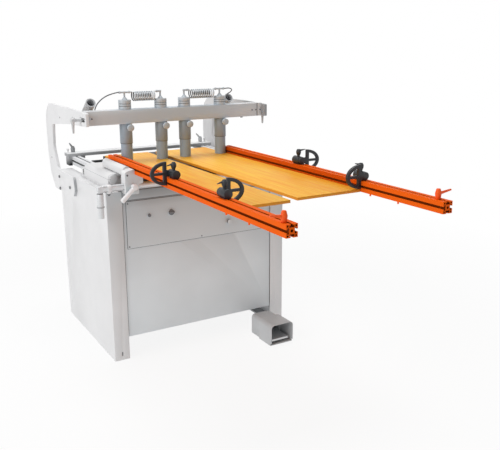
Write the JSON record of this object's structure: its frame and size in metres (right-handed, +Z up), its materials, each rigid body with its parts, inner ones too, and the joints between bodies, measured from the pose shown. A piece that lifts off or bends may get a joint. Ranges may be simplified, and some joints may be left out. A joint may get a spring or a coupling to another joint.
{
  "type": "multi-spindle boring machine",
  "caption": "Floor-standing boring machine with a spindle row under its table, long grooved side fences with flip stops, an overhead beam of air clamps and a foot pedal.",
  "frame": {"origin": "on the floor, at the centre of the four floor anchor holes, under the middle of the cabinet", "axes": "+X to the operator's right along the beam, +Y from the operator's side towards the rear, +Z up"},
  "size_m": [1.1086, 2.341, 1.3275],
  "materials": {
    "white_paint": "fine powder coat",
    "grey_sheet": "satin powder coat",
    "control_grey": "satin powder coat",
    "frame_steel": "satin paint",
    "fastener_steel": "dull zinc",
    "table_iron": "ground top",
    "board_wood": "honey-coloured straight grain",
    "casting_white": "smooth enamel",
    "rail_aluminium": "natural anodised",
    "bar_white": "satin enamel",
    "handle_white": "soft gloss",
    "button_grey": "moulded",
    "button_light": "moulded",
    "pedal_grey": "satin paint",
    "pedal_light": "ribbed",
    "crossbar_grey": "satin paint",
    "lever_dark": "moulded",
    "lever_light": "satin enamel",
    "beam_grey": "satin paint",
    "conduit_grey": "drawn tube",
    "hose_grey": "extruded",
    "coil_grey": "extruded",
    "barrel_grey": "satin anodised",
    "foot_grey": "satin anodised",
    "knob_grey": "moulded",
    "fence_orange": "orange coated profile",
    "stop_black": "moulded",
    "head_grey": "painted casting",
    "spindle_steel": "ground steel"
  },
  "bodies": {
    "base": {"left_side_panel": "white_paint", "right_side_panel": "white_paint", "inner_frame": "frame_steel", "control_panel": "control_grey", "lower_front_panel": "grey_sheet", "rear_panel": "grey_sheet", "frame_fasteners": "fastener_steel", "left_arm": "white_paint", "right_arm": "white_paint", "table_bed": "table_iron", "work_boards": "board_wood", "side_ways": "casting_white", "rear_rails": "rail_aluminium", "guide_bar": "bar_white", "guide_brackets": "casting_white", "pedal_hood": "pedal_grey"},
    "beam": {"clamp_beam": "beam_grey", "conduit_tubes": "conduit_grey", "left_air_hose": "hose_grey", "right_air_hose": "hose_grey", "left_coil_hose": "coil_grey", "right_coil_hose": "coil_grey", "clamp_1_barrel": "barrel_grey", "clamp_4_barrel": "barrel_grey"},
    "clamp_2": {"clamp_2_barrel": "barrel_grey"},
    "clamp_3": {"clamp_3_barrel": "barrel_grey"},
    "left_fence": {"left_fence": "fence_orange", "left_carrier": "casting_white"},
    "right_fence": {"right_fence": "fence_orange", "right_carrier": "casting_white"},
    "crossbar": {"rear_crossbar": "crossbar_grey"},
    "head": {"drill_head": "head_grey"},
    "centre_spindle": {"centre_spindle": "spindle_steel"},
    "crossbar_left_lever": {"crossbar_left_lever": "lever_dark"},
    "crossbar_right_lever": {"crossbar_right_lever": "lever_dark"},
    "beam_left_lever": {"beam_left_lever": "lever_light"},
    "beam_right_lever": {"beam_right_lever": "lever_light"},
    "left_carrier_handle": {"left_carrier_handle": "handle_white"},
    "left_fence_lever": {"left_fence_lever": "fence_orange"},
    "right_fence_lever": {"right_fence_lever": "fence_orange"},
    "start_button": {"start_button": "button_grey"},
    "selector_knob": {"selector_knob": "button_grey"},
    "stop_button": {"stop_button": "button_light"},
    "pedal_plate": {"pedal_plate": "pedal_light"},
    "clamp_1_foot": {"clamp_1_foot": "foot_grey"},
    "clamp_1_knob": {"clamp_1_knob": "knob_grey"},
    "stop_1_base": {"stop_1_base": "stop_black"},
    "stop_1_paddle": {"stop_1_paddle": "stop_black"},
    "clamp_2_foot": {"clamp_2_foot": "foot_grey"},
    "clamp_2_knob": {"clamp_2_knob": "knob_grey"},
    "stop_2_base": {"stop_2_base": "stop_black"},
    "stop_2_paddle": {"stop_2_paddle": "stop_black"},
    "clamp_3_foot": {"clamp_3_foot": "foot_grey"},
    "clamp_3_knob": {"clamp_3_knob": "knob_grey"},
    "stop_3_base": {"stop_3_base": "stop_black"},
    "stop_3_paddle": {"stop_3_paddle": "stop_black"},
    "clamp_4_foot": {"clamp_4_foot": "foot_grey"},
    "clamp_4_knob": {"clamp_4_knob": "knob_grey"},
    "stop_4_base": {"stop_4_base": "stop_black"},
    "stop_4_paddle": {"stop_4_paddle": "stop_black"}
  },
  "joints": [
    {"name": "start_press", "type": "slide", "parent": "base", "child": "start_button", "axis": [0, 1, 0], "range_m": [0, 0.003], "stiffness_N_per_m": 300, "springref_m": -0.002},
    {"name": "selector_turn", "type": "hinge", "parent": "base", "child": "selector_knob", "pos_m": [-0.167, -0.388, 0.738], "axis": [0, 1, 0], "range_deg": [-45, 45]},
    {"name": "stop_press", "type": "slide", "parent": "base", "child": "stop_button", "axis": [0, 1, 0], "range_m": [0, 0.0035], "stiffness_N_per_m": 400, "springref_m": -0.002},
    {"name": "pedal_press", "type": "hinge", "parent": "base", "child": "pedal_plate", "pos_m": [0.3385, -0.486, 0.026], "axis": [1, 0, 0], "range_deg": [0, 4], "stiffness_Nm_per_rad": 6, "springref_deg": -8.59},
    {"name": "crossbar_slide", "type": "slide", "parent": "base", "child": "crossbar", "axis": [0, -1, 0], "range_m": [0, 0.15]},
    {"name": "crossbar_left_lever_turn", "type": "hinge", "parent": "crossbar", "child": "crossbar_left_lever", "pos_m": [-0.412, 0.422, 0.9566], "axis": [0, 0, 1], "range_deg": [-90, 90]},
    {"name": "crossbar_right_lever_turn", "type": "hinge", "parent": "crossbar", "child": "crossbar_right_lever", "pos_m": [0.404, 0.422, 0.9566], "axis": [0, 0, 1], "range_deg": [-90, 90]},
    {"name": "beam_slide", "type": "slide", "parent": "base", "child": "beam", "axis": [0, -1, 0], "range_m": [0, 0.035]},
    {"name": "beam_left_lever_turn", "type": "hinge", "parent": "beam", "child": "beam_left_lever", "pos_m": [-0.5153, -0.125, 1.195], "axis": [1, 0, 0], "range_deg": [-90, 90]},
    {"name": "beam_right_lever_turn", "type": "hinge", "parent": "beam", "child": "beam_right_lever", "pos_m": [0.5153, -0.125, 1.195], "axis": [1, 0, 0], "range_deg": [-90, 90]},
    {"name": "clamp_2_shift", "type": "slide", "parent": "beam", "child": "clamp_2", "axis": [1, 0, 0], "range_m": [0, 0.03]},
    {"name": "clamp_3_shift", "type": "slide", "parent": "beam", "child": "clamp_3", "axis": [-1, 0, 0], "range_m": [0, 0.03]},
    {"name": "clamp_1_stroke", "type": "slide", "parent": "beam", "child": "clamp_1_foot", "axis": [0, 0, 1], "range_m": [0, 0.05]},
    {"name": "clamp_1_knob_turn", "type": "hinge", "parent": "beam", "child": "clamp_1_knob", "pos_m": [-0.284, -0.167, 1.147], "axis": [0, 1, 0], "continuous": true},
    {"name": "clamp_2_stroke", "type": "slide", "parent": "clamp_2", "child": "clamp_2_foot", "axis": [0, 0, 1], "range_m": [0, 0.05]},
    {"name": "clamp_2_knob_turn", "type": "hinge", "parent": "clamp_2", "child": "clamp_2_knob", "pos_m": [-0.089, -0.167, 1.147], "axis": [0, 1, 0], "continuous": true},
    {"name": "clamp_3_stroke", "type": "slide", "parent": "clamp_3", "child": "clamp_3_foot", "axis": [0, 0, 1], "range_m": [0, 0.05]},
    {"name": "clamp_3_knob_turn", "type": "hinge", "parent": "clamp_3", "child": "clamp_3_knob", "pos_m": [0.046, -0.167, 1.147], "axis": [0, 1, 0], "continuous": true},
    {"name": "clamp_4_stroke", "type": "slide", "parent": "beam", "child": "clamp_4_foot", "axis": [0, 0, 1], "range_m": [0, 0.05]},
    {"name": "clamp_4_knob_turn", "type": "hinge", "parent": "beam", "child": "clamp_4_knob", "pos_m": [0.258, -0.167, 1.147], "axis": [0, 1, 0], "continuous": true},
    {"name": "left_fence_slide", "type": "slide", "parent": "base", "child": "left_fence", "axis": [-1, 0, 0], "range_m": [0, 0.03]},
    {"name": "right_fence_slide", "type": "slide", "parent": "base", "child": "right_fence", "axis": [1, 0, 0], "range_m": [0, 0.1]},
    {"name": "left_handle_turn", "type": "hinge", "parent": "left_fence", "child": "left_carrier_handle", "pos_m": [-0.383, -0.45, 0.902], "axis": [0, 1, 0], "range_deg": [-60, 60]},
    {"name": "left_fence_lever_turn", "type": "hinge", "parent": "left_fence", "child": "left_fence_lever", "pos_m": [-0.3595, -1.715, 1.004], "axis": [0, 0, 1], "range_deg": [-90, 90]},
    {"name": "right_fence_lever_turn", "type": "hinge", "parent": "right_fence", "child": "right_fence_lever", "pos_m": [0.3045, -1.723, 1.004], "axis": [0, 0, 1], "range_deg": [-90, 90]},
    {"name": "stop_1_slide", "type": "slide", "parent": "left_fence", "child": "stop_1_base", "axis": [0, 1, 0], "range_m": [-0.25, 0.25]},
    {"name": "stop_1_flip", "type": "hinge", "parent": "stop_1_base", "child": "stop_1_paddle", "pos_m": [-0.3505, -0.824, 1.0223], "axis": [0, 1, 0], "range_deg": [0, 180]},
    {"name": "stop_2_slide", "type": "slide", "parent": "left_fence", "child": "stop_2_base", "axis": [0, 1, 0], "range_m": [-0.2, 0.1]},
    {"name": "stop_2_flip", "type": "hinge", "parent": "stop_2_base", "child": "stop_2_paddle", "pos_m": [-0.3505, -1.276, 1.0223], "axis": [0, 1, 0], "range_deg": [-180, 0]},
    {"name": "stop_3_slide", "type": "slide", "parent": "right_fence", "child": "stop_3_base", "axis": [0, 1, 0], "range_m": [-0.25, 0.25]},
    {"name": "stop_3_flip", "type": "hinge", "parent": "stop_3_base", "child": "stop_3_paddle", "pos_m": [0.3045, -0.852, 1.0223], "axis": [0, 1, 0], "range_deg": [-180, 0]},
    {"name": "stop_4_slide", "type": "slide", "parent": "right_fence", "child": "stop_4_base", "axis": [0, 1, 0], "range_m": [-0.2, 0.1]},
    {"name": "stop_4_flip", "type": "hinge", "parent": "stop_4_base", "child": "stop_4_paddle", "pos_m": [0.3045, -1.31, 1.0223], "axis": [0, 1, 0], "range_deg": [0, 180]},
    {"name": "head_feed", "type": "slide", "parent": "base", "child": "head", "axis": [0, 0, 1], "range_m": [0, 0.069]},
    {"name": "centre_spindle_turn", "type": "hinge", "parent": "head", "child": "centre_spindle", "pos_m": [0.008, -0.045, 0.86], "axis": [0, 0, 1], "continuous": true}
  ]
}
